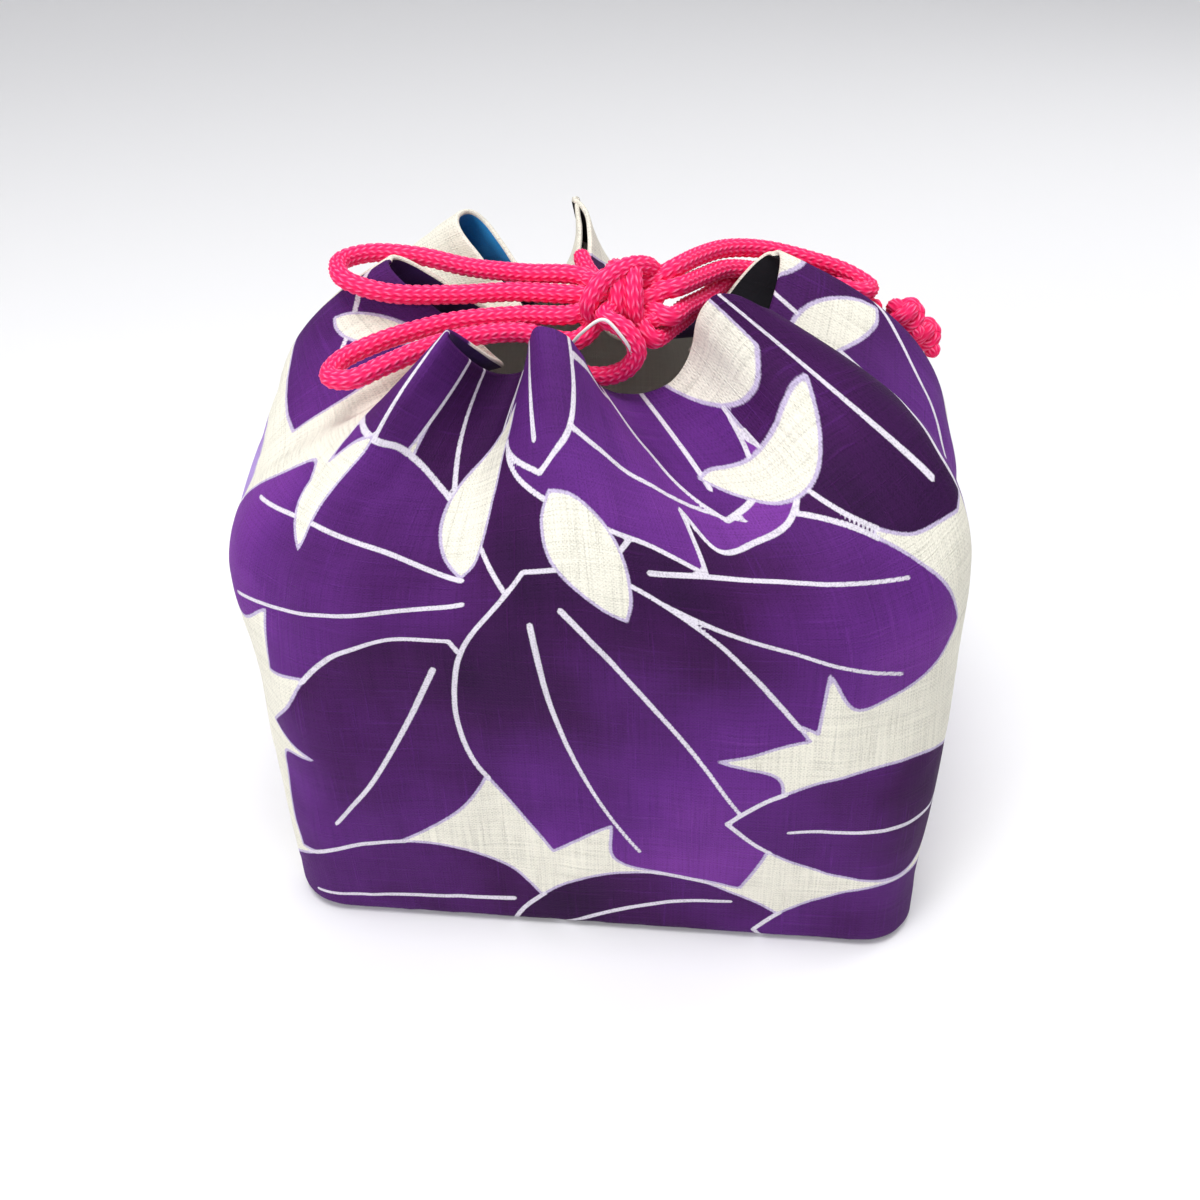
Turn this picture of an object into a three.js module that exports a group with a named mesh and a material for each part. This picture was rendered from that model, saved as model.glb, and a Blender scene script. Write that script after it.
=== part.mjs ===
// Kinchaku drawstring pouch: a square-bottomed cotton bag, drawn shut at the top and tied in a bow.
// Millimetres, +Z up. The origin is in the middle of the base, and the front of the pouch faces -Y.
import * as THREE from 'three';
import { mergeVertices } from 'three/addons/utils/BufferGeometryUtils.js';

// ---- driving dimensions ----
const BASE = { halfWidth: 84, halfDepth: 75, corner: 14, x: 4 };
const SHOULDER = { halfWidth: 90, halfDepth: 78, corner: 34, x: 0 };
const WALL_HEIGHT = 90; // the walls stand nearly upright to here, then turn over towards the mouth
const BASE_EDGE = 4; // how far the cloth rounds over from the base into the walls
const FOLD_ROUNDNESS = 0.95; // a larger value gives wider, rounder folds at the rim
const SHOULDER_FULLNESS = 0.78; // 0 gives a straight roof, 1 a square shoulder

const SEAM_GAP = 0.3;
const OUTER = { from: 0, to: 0.6 }; // depths below the outer face of the cloth
const INNER = { from: 0.9, to: 1.4 };
const FACING_START = 0.78; // share of the roof where the stitched facing meets the lining
const FACING_GAP = 0.004;

const CORD_RADIUS = 2.4;
const CORD_SIDES = 8;
const CORD_STEP = 10.5; // the length of one straight piece of a cord

// The rim is gathered into folds. Each place is where a fold's tip or the valley beside it stands at the
// rim, and the height of the pouch's shoulder under it. They go round from the left side, front first.
const RIM = [
  { x: -58, y: 2, z: 156, shoulder: 133 }, // left ridge, on the side seam
  { x: -28, y: -12, z: 136, shoulder: 126 },
  { x: -36, y: -40, z: 155, shoulder: 118 }, // front left ridge
  { x: -23, y: -20, z: 135, shoulder: 117 },
  { x: -13, y: -36, z: 155, shoulder: 124 }, // front finger
  { x: 0, y: -18, z: 130, shoulder: 119 },
  { x: 16, y: -15, z: 133, shoulder: 120 },
  { x: 24, y: -20, z: 157, shoulder: 126 }, // front petal, two tips
  { x: 37, y: -24, z: 157, shoulder: 136 },
  { x: 38, y: -6, z: 143, shoulder: 132 },
  { x: 40, y: 13, z: 158, shoulder: 143 }, // right ridge, on the side seam
  { x: 20, y: 11, z: 130, shoulder: 120 },
  { x: 37, y: 44, z: 138, shoulder: 114 },
  { x: 0, y: 18, z: 131, shoulder: 114 },
  { x: -14, y: 55, z: 157, shoulder: 124 }, // rear ridge
  { x: -16, y: 27, z: 137, shoulder: 118 },
  { x: -44, y: 37, z: 156, shoulder: 124 }, // rear left ridge
  { x: -26, y: 13, z: 137, shoulder: 122 },
];
const RIGHT_SEAM = 10; // the place in RIM where the right side seam ends; the left one ends at place 0
const STEPS_PER_FOLD = 5;

// Each row of the cloth grid lies on the base, on a wall or on the roof.
const ROWS = [
  { on: 'base', at: 1 },
  { on: 'base', at: 0 },
  { on: 'wall', at: BASE_EDGE },
  { on: 'wall', at: WALL_HEIGHT / 2 },
  { on: 'wall', at: WALL_HEIGHT },
  { on: 'roof', at: 0.3 },
  { on: 'roof', at: 0.55 },
];
const LINING_ROWS = [...ROWS, { on: 'roof', at: FACING_START - FACING_GAP }];
const FACING_ROWS = [{ on: 'roof', at: FACING_START }, { on: 'roof', at: 0.89 }, { on: 'roof', at: 1 }];
const OUTER_ROWS = [...ROWS, ...FACING_ROWS];

// ---- materials ----
const cloth = (color) => new THREE.MeshStandardMaterial({ color, roughness: 0.85, metalness: 0 });
const PURPLE = '#4b2273';
const CREAM = '#e9e5d6';
const BLUE_BLACK = '#26242c';
const PINK = '#ee2f5f';

// ---- the shape of the cloth ----
const rimPlace = (k) => RIM[(k + RIM.length) % RIM.length];

const vectorOf = ({ x, y, z }) => new THREE.Vector3(x, y, z);

// Which way the rim runs as it turns over a tip or through a valley.
function tipDirection(k) {
  return vectorOf(rimPlace(k + 1)).sub(vectorOf(rimPlace(k - 1))).normalize();
}

// A point of the rim, u places round from the left seam, and the shoulder height under it.
function rimAt(u) {
  const k = Math.floor(u);
  const t = u - k;
  const [start, end] = [rimPlace(k), rimPlace(k + 1)];
  const ease = t * t * (3 - 2 * t);
  const roundness = FOLD_ROUNDNESS * vectorOf(start).distanceTo(vectorOf(end));
  const point = vectorOf(start)
    .lerp(vectorOf(end), ease)
    .addScaledVector(tipDirection(k), roundness * t * (1 - t) ** 2)
    .addScaledVector(tipDirection(k + 1), -roundness * t * t * (1 - t));
  return { point, shoulder: THREE.MathUtils.lerp(start.shoulder, end.shoulder, ease) };
}

// The cloth keeps its width, so each fold of the rim takes the same length of wall below it.
const SAMPLES_PER_FOLD = 24;
const rimLengths = [0];
for (let i = 1; i <= RIM.length * SAMPLES_PER_FOLD; i += 1) {
  const step = rimAt(i / SAMPLES_PER_FOLD).point.distanceTo(rimAt((i - 1) / SAMPLES_PER_FOLD).point);
  rimLengths.push(rimLengths[i - 1] + step);
}

function rimLengthTo(u) {
  const place = u * SAMPLES_PER_FOLD;
  const i = THREE.MathUtils.clamp(Math.floor(place), 0, rimLengths.length - 2);
  return THREE.MathUtils.lerp(rimLengths[i], rimLengths[i + 1], place - i);
}

// The share of the way round the pouch: the front panel takes the first half and the rear panel the second.
const FRONT_LENGTH = rimLengthTo(RIGHT_SEAM);
const REAR_LENGTH = rimLengthTo(RIM.length) - FRONT_LENGTH;
function shareOfCloth(u) {
  const length = rimLengthTo(u);
  if (u <= RIGHT_SEAM) return (0.5 * length) / FRONT_LENGTH;
  return 0.5 + (0.5 * (length - FRONT_LENGTH)) / REAR_LENGTH;
}

// A point of a rounded rectangle, from the middle of its left side round by the front.
function outlineAt(share, { halfWidth, halfDepth, corner, x }) {
  const w = halfWidth - corner;
  const h = halfDepth - corner;
  const quarter = (Math.PI * corner) / 2;
  const spans = [h, quarter, 2 * w, quarter, 2 * h, quarter, 2 * w, quarter, h];
  const draw = [
    (d) => [-halfWidth, -d],
    (d) => [-w - corner * Math.cos(d / corner), -h - corner * Math.sin(d / corner)],
    (d) => [-w + d, -halfDepth],
    (d) => [w + corner * Math.sin(d / corner), -h - corner * Math.cos(d / corner)],
    (d) => [halfWidth, -h + d],
    (d) => [w + corner * Math.cos(d / corner), h + corner * Math.sin(d / corner)],
    (d) => [w - d, halfDepth],
    (d) => [-w - corner * Math.sin(d / corner), h + corner * Math.cos(d / corner)],
    (d) => [-halfWidth, h - d],
  ];
  let left = share * spans.reduce((sum, span) => sum + span, 0);
  let k = 0;
  while (k < spans.length - 1 && left > spans[k]) {
    left -= spans[k];
    k += 1;
  }
  const [px, py] = draw[k](left);
  return new THREE.Vector2(px + x, py);
}

function wallAt(share, z) {
  const k = z / WALL_HEIGHT;
  const outline = {};
  for (const key of Object.keys(BASE)) outline[key] = THREE.MathUtils.lerp(BASE[key], SHOULDER[key], k);
  const p = outlineAt(share, outline);
  return new THREE.Vector3(p.x, p.y, z);
}

// The roof is a cubic curve from the top of the wall, over the shoulder, to the rim.
function roofAt(u, t) {
  const share = shareOfCloth(u);
  const { point: rim, shoulder } = rimAt(u);
  const foot = wallAt(share, WALL_HEIGHT);
  const corner = wallAt(share, shoulder);
  const handle1 = foot.clone().lerp(corner, SHOULDER_FULLNESS);
  const handle2 = rim.clone().lerp(corner, SHOULDER_FULLNESS);
  return new THREE.CubicBezierCurve3(foot, handle1, handle2, rim).getPoint(t);
}

// The base: from its edge, at 0, to the seam that joins the two panels across its middle, at 1.
function baseAt(u, at) {
  const share = shareOfCloth(u);
  const inset = { ...BASE, halfWidth: BASE.halfWidth - BASE_EDGE, halfDepth: BASE.halfDepth - BASE_EDGE };
  const edge = outlineAt(share, inset);
  const across = share <= 0.5 ? 2 * share : 2 * (1 - share);
  const side = share <= 0.5 ? -1 : 1;
  const seam = new THREE.Vector2(BASE.x + inset.halfWidth * (2 * across - 1), (side * SEAM_GAP) / 2);
  edge.lerp(seam, at);
  return new THREE.Vector3(edge.x, edge.y, 0);
}

function clothAt(u, row) {
  if (row.on === 'base') return baseAt(u, row.at);
  if (row.on === 'wall') return wallAt(shareOfCloth(u), row.at);
  return roofAt(u, row.at);
}

function outwards(u, row) {
  if (row.on === 'base') return new THREE.Vector3(0, 0, -1);
  const du = 0.02;
  const dv = row.on === 'wall' ? 0.5 : 0.01;
  const around = clothAt(u + du, row).sub(clothAt(u - du, row));
  const up = clothAt(u, { on: row.on, at: row.at + dv }).sub(clothAt(u, { on: row.on, at: row.at - dv }));
  return around.cross(up).normalize();
}

// ---- cloth pieces ----
// A mesh from points and triangles, with shared points merged and collapsed triangles dropped.
function closedMesh(name, color, points, triangles) {
  const loose = new THREE.BufferGeometry().setFromPoints(points);
  loose.setIndex(triangles.flat());
  const merged = mergeVertices(loose, 1e-3);
  const index = Array.from(merged.getIndex().array);
  const kept = [];
  for (let i = 0; i < index.length; i += 3) {
    const [a, b, c] = index.slice(i, i + 3);
    if (a !== b && b !== c && c !== a) kept.push(a, b, c);
  }
  merged.setIndex(kept);
  merged.computeVertexNormals();
  const mesh = new THREE.Mesh(merged, cloth(color));
  mesh.name = name;
  return mesh;
}

// The places round the rim of the front half or the rear half, clear of the side seams.
function columns(start, end) {
  const steps = (end - start) * STEPS_PER_FOLD;
  const clear = SEAM_GAP / 2 / (rimLengths[SAMPLES_PER_FOLD] - rimLengths[0]);
  const places = [];
  for (let i = 0; i <= steps; i += 1) places.push(start + i / STEPS_PER_FOLD);
  places[0] += clear;
  places[steps] -= clear;
  return places;
}

// One thickness of cloth: an outer face, an inner face and the edges between them.
function clothPiece(name, color, places, rows, depth) {
  const points = [];
  for (const offset of [depth.from, depth.to]) {
    for (const row of rows) {
      for (const u of places) points.push(clothAt(u, row).addScaledVector(outwards(u, row), -offset));
    }
  }
  const n = places.length;
  const m = rows.length;
  const outer = (i, j) => i * n + j;
  const inner = (i, j) => m * n + i * n + j;
  const triangles = [];
  const quad = (a, b, c, d) => triangles.push([a, b, c], [a, c, d]);
  for (let i = 0; i < m - 1; i += 1) {
    for (let j = 0; j < n - 1; j += 1) {
      quad(outer(i, j), outer(i, j + 1), outer(i + 1, j + 1), outer(i + 1, j));
      quad(inner(i, j), inner(i + 1, j), inner(i + 1, j + 1), inner(i, j + 1));
    }
    quad(outer(i, 0), outer(i + 1, 0), inner(i + 1, 0), inner(i, 0));
    quad(outer(i, n - 1), inner(i, n - 1), inner(i + 1, n - 1), outer(i + 1, n - 1));
  }
  for (let j = 0; j < n - 1; j += 1) {
    quad(outer(0, j), inner(0, j), inner(0, j + 1), outer(0, j + 1));
    quad(outer(m - 1, j), outer(m - 1, j + 1), inner(m - 1, j + 1), inner(m - 1, j));
  }
  return closedMesh(name, color, points, triangles);
}

const FRONT = columns(0, RIGHT_SEAM);
const REAR = columns(RIGHT_SEAM, RIM.length);

const clothPieces = [
  clothPiece('outer_front_panel', PURPLE, FRONT, OUTER_ROWS, OUTER),
  clothPiece('outer_rear_panel', PURPLE, REAR, OUTER_ROWS, OUTER),
  clothPiece('lining_front_panel', CREAM, FRONT, LINING_ROWS, INNER),
  clothPiece('lining_rear_panel', CREAM, REAR, LINING_ROWS, INNER),
  clothPiece('facing_front', PURPLE, FRONT, FACING_ROWS, INNER),
  clothPiece('facing_rear', BLUE_BLACK, REAR, FACING_ROWS, INNER),
];

// ---- the drawcords, tied in a bow over the mouth ----
const KNOT = { at: [3, -8, 152], halfSize: [10, 8, 8.5] };
const END_KNOTS = [[75.5, 18, 140], [82, 25, 132]];
const END_KNOT_RADIUS = 5;

// Each stretch of cord is the list of points that its middle line goes through.
const CORDS = {
  left_loop_upper: [
    [-9, -3, 155], [-22, 0, 154], [-38, 8, 152], [-52, 12, 153], [-64, 10, 154],
    [-70, 3, 154], [-67, -6, 153], [-56, -9, 151], [-40, -6, 150], [-24, -5, 151], [-10, -8, 152],
  ],
  left_loop_lower: [
    [-9, -13, 149], [-22, -10, 147], [-38, -13, 146], [-48, -18, 145], [-56, -24, 144],
    [-63, -30, 142], [-64, -37, 141], [-58, -40, 142], [-51, -36, 144], [-43, -28, 145],
    [-34, -20, 145], [-22, -16, 145], [-8, -17, 144],
  ],
  right_loop: [
    [14, -2, 157], [21, 9, 157], [28, 18, 156], [38, 24, 154], [50, 26, 151], [60, 26, 148],
    [66, 21, 146], [63, 15, 147], [55, 16, 148], [46, 20, 148], [38, 21, 149], [28, 14, 152],
    [21, 4, 153], [15, -6, 154],
  ],
  tail_1: [
    [14, -12, 149], [18, -3, 148], [23, 7, 147], [28, 17, 147], [37, 25, 144], [50, 29, 142],
    [62, 26, 140], [70, 21, 140],
  ],
  tail_2: [
    [10, -16, 145], [15, -4, 143], [18, 5, 142], [21, 13, 142], [27, 22, 140], [38, 31, 139],
    [50, 35, 137], [63, 33, 135], [76, 27, 133],
  ],
  front_lead: [
    [-1, -19, 151], [4, -21, 149], [7, -21, 144], [5, -20, 139], [0, -19, 136], [-6, -19, 136], [-11, -22, 139],
  ],
  rear_lead: [
    [2, 2, 148], [0, 10, 145], [-4, 19, 144], [-9, 28, 145], [-12, 36, 147],
  ],
};

function cordPiece(name, route) {
  const path = new THREE.CatmullRomCurve3(route.map((p) => new THREE.Vector3(...p)));
  const section = new THREE.Shape();
  section.absarc(0, 0, CORD_RADIUS, 0, 2 * Math.PI, false);
  const steps = Math.round(path.getLength() / CORD_STEP);
  const geometry = new THREE.ExtrudeGeometry(section, {
    steps, extrudePath: path, curveSegments: CORD_SIDES, bevelEnabled: false,
  });
  const mesh = new THREE.Mesh(geometry, cloth(PINK));
  mesh.name = name;
  return mesh;
}

function knotPiece(name, at, halfSize) {
  const geometry = new THREE.SphereGeometry(1, 14, 9);
  geometry.scale(...halfSize);
  const mesh = new THREE.Mesh(geometry, cloth(PINK));
  mesh.name = name;
  mesh.position.set(...at);
  return mesh;
}

const cordPieces = Object.entries(CORDS).map(([name, route]) => cordPiece(name, route));
cordPieces.push(knotPiece('bow_knot', KNOT.at, KNOT.halfSize));
END_KNOTS.forEach((at, i) => {
  cordPieces.push(knotPiece(`end_knot_${i + 1}`, at, [END_KNOT_RADIUS, END_KNOT_RADIUS, END_KNOT_RADIUS]));
});

const pouch = new THREE.Group();
pouch.add(...clothPieces, ...cordPieces);
export default pouch;
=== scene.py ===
import math

import bpy
import numpy as np
from mathutils import Matrix, Vector


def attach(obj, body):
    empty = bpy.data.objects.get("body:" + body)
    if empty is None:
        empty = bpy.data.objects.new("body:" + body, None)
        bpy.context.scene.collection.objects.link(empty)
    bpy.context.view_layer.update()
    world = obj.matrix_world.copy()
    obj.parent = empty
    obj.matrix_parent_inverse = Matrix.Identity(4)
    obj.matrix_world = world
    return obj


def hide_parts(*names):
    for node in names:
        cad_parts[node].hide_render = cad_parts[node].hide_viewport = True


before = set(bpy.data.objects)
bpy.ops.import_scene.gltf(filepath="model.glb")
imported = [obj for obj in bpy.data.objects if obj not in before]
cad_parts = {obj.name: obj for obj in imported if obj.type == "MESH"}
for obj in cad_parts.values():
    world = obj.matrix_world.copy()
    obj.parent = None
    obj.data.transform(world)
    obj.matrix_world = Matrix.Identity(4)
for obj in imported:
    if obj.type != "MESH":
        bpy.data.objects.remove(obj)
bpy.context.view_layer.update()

MM = 0.001


# ---------------------------------------------------------------- camera
CAMERA_PLACE = (18.5, -300.5, 266.5)
CAMERA_AZIMUTH = math.radians(4)
CAMERA_ELEVATION = math.radians(35)
CAMERA_ROLL = math.radians(0.8)
CAMERA_LENS = 37.5
CAMERA_SENSOR = 36


def make_camera():
    a, e, r = CAMERA_AZIMUTH, CAMERA_ELEVATION, CAMERA_ROLL
    back = Vector((math.sin(a) * math.cos(e), -math.cos(a) * math.cos(e), math.sin(e)))
    right = (-back).cross(Vector((0, 0, 1))).normalized()
    up = back.cross(right)
    axes = (right * math.cos(r) + up * math.sin(r), up * math.cos(r) - right * math.sin(r), back)
    data = bpy.data.cameras.new("camera")
    data.lens = CAMERA_LENS
    data.sensor_width = CAMERA_SENSOR
    data.clip_start = 0.01
    camera = bpy.data.objects.new("camera", data)
    camera.matrix_world = Matrix.Translation(Vector(CAMERA_PLACE) * MM) @ Matrix(axes).transposed().to_4x4()
    bpy.context.scene.collection.objects.link(camera)
    bpy.context.scene.camera = camera


# ---------------------------------------------------------------- helpers for meshes
def grid_faces(rows, columns, closed=False):
    """The faces of a grid of points, which face out where rows go up and columns go round to the left."""
    j = np.arange(columns if closed else columns - 1)
    i = np.arange(rows - 1)[:, None]
    following = (j + 1) % columns
    corners = [i * columns + j, i * columns + following, (i + 1) * columns + following, (i + 1) * columns + j]
    return np.stack(corners, -1).reshape(-1, 4)


def make_piece(name, points, faces, material, stands_for=(), uv=None, values=None):
    """A smooth mesh object that rides on the frame, from points in millimetres."""
    mesh = bpy.data.meshes.new(name)
    mesh.from_pydata((np.asarray(points).reshape(-1, 3) * MM).tolist(), [], [list(face) for face in faces])
    mesh.shade_smooth()
    if uv is not None:
        corner = np.zeros(len(mesh.loops), np.int32)
        mesh.loops.foreach_get("vertex_index", corner)
        layer = mesh.uv_layers.new(name="flat_cloth")
        layer.data.foreach_set("uv", np.asarray(uv, np.float32).reshape(-1, 2)[corner].ravel())
    for key, value in (values or {}).items():
        attribute = mesh.attributes.new(key, "FLOAT", "POINT")
        attribute.data.foreach_set("value", np.asarray(value, np.float32).ravel())
    mesh.materials.append(material)
    piece = bpy.data.objects.new(name, mesh)
    bpy.context.scene.collection.objects.link(piece)
    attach(piece, "root")
    if stands_for:
        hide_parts(*stands_for)
    return piece


def smoothstep(low, high, x):
    t = np.clip((x - low) / (high - low), 0, 1)
    return t * t * (3 - 2 * t)


NOISE_CELLS = 64  # the noise comes round again after this many lumps


def soft_noise(x, y, size_x, size_y, seed):
    """Smooth seeded noise from -1 to 1, whose lumps are about size_x by size_y."""
    n = NOISE_CELLS
    table = np.random.default_rng(seed).uniform(-1, 1, (n, n))
    gx, gy = np.broadcast_arrays(x / size_x, y / size_y)
    i, j = np.floor(gx).astype(int), np.floor(gy).astype(int)
    fx, fy = smoothstep(0, 1, gx - i), smoothstep(0, 1, gy - j)
    low = table[j % n, i % n] * (1 - fx) + table[j % n, (i + 1) % n] * fx
    high = table[(j + 1) % n, i % n] * (1 - fx) + table[(j + 1) % n, (i + 1) % n] * fx
    return low * (1 - fy) + high * fy


# ---------------------------------------------------------------- helpers for materials
def new_material(name, roughness, sheen=0.0, sheen_roughness=0.5, specular=0.5):
    material = bpy.data.materials.new(name)
    material.use_nodes = True
    tree = material.node_tree
    shader = tree.nodes["Principled BSDF"]
    shader.inputs["Roughness"].default_value = roughness
    shader.inputs["Sheen Weight"].default_value = sheen
    shader.inputs["Sheen Roughness"].default_value = sheen_roughness
    shader.inputs["Specular IOR Level"].default_value = specular
    return material, tree, shader


def put(tree, value, socket):
    """Links value to the socket if it is a socket, and sets it there if it is a number or a colour."""
    if isinstance(value, bpy.types.NodeSocket):
        tree.links.new(value, socket)
    elif value is not None:
        socket.default_value = value


def math_node(tree, operation, a, b=None, c=None):
    node = tree.nodes.new("ShaderNodeMath")
    node.operation = operation
    for socket, value in zip(node.inputs, (a, b, c)):
        put(tree, value, socket)
    return node.outputs[0]


def mix(tree, share, a, b, blend="MIX"):
    node = tree.nodes.new("ShaderNodeMix")
    node.data_type = "RGBA"
    node.blend_type = blend
    for socket, value in zip((node.inputs[0], node.inputs[6], node.inputs[7]), (share, a, b)):
        put(tree, value, socket)
    return node.outputs[2]


def ramp(tree, value, stops):
    node = tree.nodes.new("ShaderNodeValToRGB")
    elements = node.color_ramp.elements
    while len(elements) < len(stops):
        elements.new(0.5)
    for element, (place, color) in zip(elements, stops):
        element.position = place
        element.color = color
    put(tree, value, node.inputs[0])
    return node.outputs[0]


def step_down(tree, value, low, high):
    """1 where value is under low and 0 where it is over high, with a soft step between them."""
    node = tree.nodes.new("ShaderNodeMapRange")
    node.interpolation_type = "SMOOTHSTEP"
    for socket, v in zip(node.inputs, (value, low, high, 1.0, 0.0)):
        put(tree, v, socket)
    return node.outputs[0]


def attribute(tree, name):
    node = tree.nodes.new("ShaderNodeAttribute")
    node.attribute_name = name
    return node.outputs["Fac"]


def noise(tree, vector, stretch, detail=2.0, roughness=0.5):
    """Noise on a vector, with stretch lumps for each unit along each axis."""
    scaled = tree.nodes.new("ShaderNodeVectorMath")
    scaled.operation = "MULTIPLY"
    put(tree, vector, scaled.inputs[0])
    scaled.inputs[1].default_value = stretch
    node = tree.nodes.new("ShaderNodeTexNoise")
    put(tree, scaled.outputs[0], node.inputs["Vector"])
    node.inputs["Scale"].default_value = 1.0
    node.inputs["Detail"].default_value = detail
    node.inputs["Roughness"].default_value = roughness
    return node.outputs[0]


def bump(tree, shader, height, strength, distance):
    node = tree.nodes.new("ShaderNodeBump")
    node.inputs["Strength"].default_value = strength
    node.inputs["Distance"].default_value = distance
    put(tree, height, node.inputs["Height"])
    tree.links.new(node.outputs[0], shader.inputs["Normal"])


def grey(level):
    return (level, level, level, 1)


def rgb(text):
    """A linear colour from one written as hexadecimal sRGB."""
    channels = [int(text[k:k + 2], 16) / 255 for k in (0, 2, 4)]
    return tuple(c / 12.92 if c < 0.04045 else ((c + 0.055) / 1.055) ** 2.4 for c in channels) + (1.0,)


# ---------------------------------------------------------------- drawcords
CORD_RADIUS = 2.5
STITCH_LENGTH = 2.3  # one V of the knit, along the cord
WALES = 6  # columns of Vs round the cord
STITCH_DEPTH = 0.62
STITCH_SLANT = 0.95  # how far each leg of a V slants, in stitches
LEG_PLACE = 0.25  # of a V's leg across its column, whose middle is 0 and whose edges are 0.5
LEG_HALF_WIDTH = 0.27
LEG_LOW = 0.3  # the relief where one stitch ends and the next starts, from 0 to 1
LEG_CREST = 0.7  # under 1, the top of a stitch is broader than the dip
CORD_STEP = 0.3  # between two rings of a cord's mesh
CORD_SIDES = 36
CURVE_STEPS = 40  # points worked out between two given ones
KNOT = (3, -8, 152)
END_KNOTS = [(75.5, 18, 140), (82, 25, 132)]
LOOPS = ("left_loop_upper", "left_loop_lower", "right_loop")

# The length of each stretch of cord, what its far end is, and the points its middle line goes through.
# Each one starts in the bow knot, and the loops end in it too.
CORDS = {
    "left_loop_upper": (0.151, "object", [
        (-9, -3, 155), (-22, 0, 154), (-38, 8, 152), (-52, 12, 153), (-64, 10, 154), (-70, 3, 154),
        (-67, -6, 153), (-56, -9, 151), (-40, -6, 150), (-24, -5, 151), (-10, -8, 152)]),
    "left_loop_lower": (0.15, "object", [
        (-9, -13, 149), (-22, -10, 147), (-38, -13, 146), (-48, -18, 145), (-56, -24, 144),
        (-63, -30, 142), (-64, -37, 141), (-58, -40, 142), (-51, -36, 144), (-43, -28, 145),
        (-34, -20, 145), (-22, -16, 145), (-8, -17, 144)]),
    "right_loop": (0.152, "object", [
        (14, -2, 157), (21, 9, 157), (28, 18, 156), (38, 24, 154), (50, 26, 151), (60, 26, 148),
        (66, 21, 146), (63, 15, 147), (55, 16, 148), (46, 20, 148), (38, 21, 149), (28, 14, 152),
        (21, 4, 153), (15, -6, 154)]),
    "tail_1": (0.088, "knot", [
        (14, -12, 149), (18, -3, 148), (23, 7, 147), (28, 17, 147), (37, 25, 144), (50, 29, 142),
        (62, 26, 140), (70, 21, 140)]),
    "tail_2": (0.105, "knot", [
        (10, -16, 145), (15, -4, 143), (18, 5, 142), (21, 13, 142), (27, 22, 140), (38, 31, 139),
        (50, 35, 137), (63, 33, 135), (76, 27, 133)]),
    "front_lead": (0.043, "object", [
        (-1, -19, 151), (4, -21, 149), (7, -21, 144), (5, -20, 139), (0, -19, 136), (-6, -19, 136),
        (-11, -22, 139)]),
    "rear_lead": (0.044, "object", [(2, 2, 148), (0, 10, 145), (-4, 19, 144), (-9, 28, 145), (-12, 36, 147)]),
}


def smooth_line(points, step, closed=False):
    """Evenly spaced points of a centripetal Catmull-Rom curve."""
    p = np.asarray(points, float)
    if closed:
        p = np.concatenate([p[-1:], p, p[:2]])
    else:
        p = np.concatenate([[2 * p[0] - p[1]], p, [2 * p[-1] - p[-2]]])
    t = np.linspace(0, 1, CURVE_STEPS, endpoint=False)[:, None]
    runs = []
    for a, b, c, d in zip(p[:-3], p[1:-2], p[2:-1], p[3:]):
        before, span, after = (max(np.linalg.norm(q - r) ** 0.5, 1e-3) for q, r in ((b, a), (c, b), (d, c)))
        start = ((b - a) / before - (c - a) / (before + span) + (c - b) / span) * span
        end = ((c - b) / span - (d - b) / (span + after) + (d - c) / after) * span
        runs.append(b * (1 + 2 * t) * (1 - t) ** 2 + start * t * (1 - t) ** 2
                    + c * t * t * (3 - 2 * t) + end * t * t * (t - 1))
    line = np.concatenate([*runs, p[-2:-1]])
    along = np.concatenate([[0], np.cumsum(np.linalg.norm(np.diff(line, axis=0), axis=1))])
    even = np.linspace(0, along[-1], max(2, round(along[-1] / step) + 1))
    return np.stack([np.interp(even, along, line[:, k]) for k in range(3)], -1)


def side_directions(line):
    """Two directions across a line at each of its points, carried along it without twist."""
    along = np.gradient(line, axis=0)
    along /= np.linalg.norm(along, axis=1)[:, None]
    side = np.cross(along[0], (0.3, 0.2, 1.0))
    sides = []
    for direction in along:
        side = side - direction * (side @ direction)
        side = side / np.linalg.norm(side)
        sides.append(side)
    sides = np.array(sides)
    return sides, np.cross(along, sides)


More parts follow.
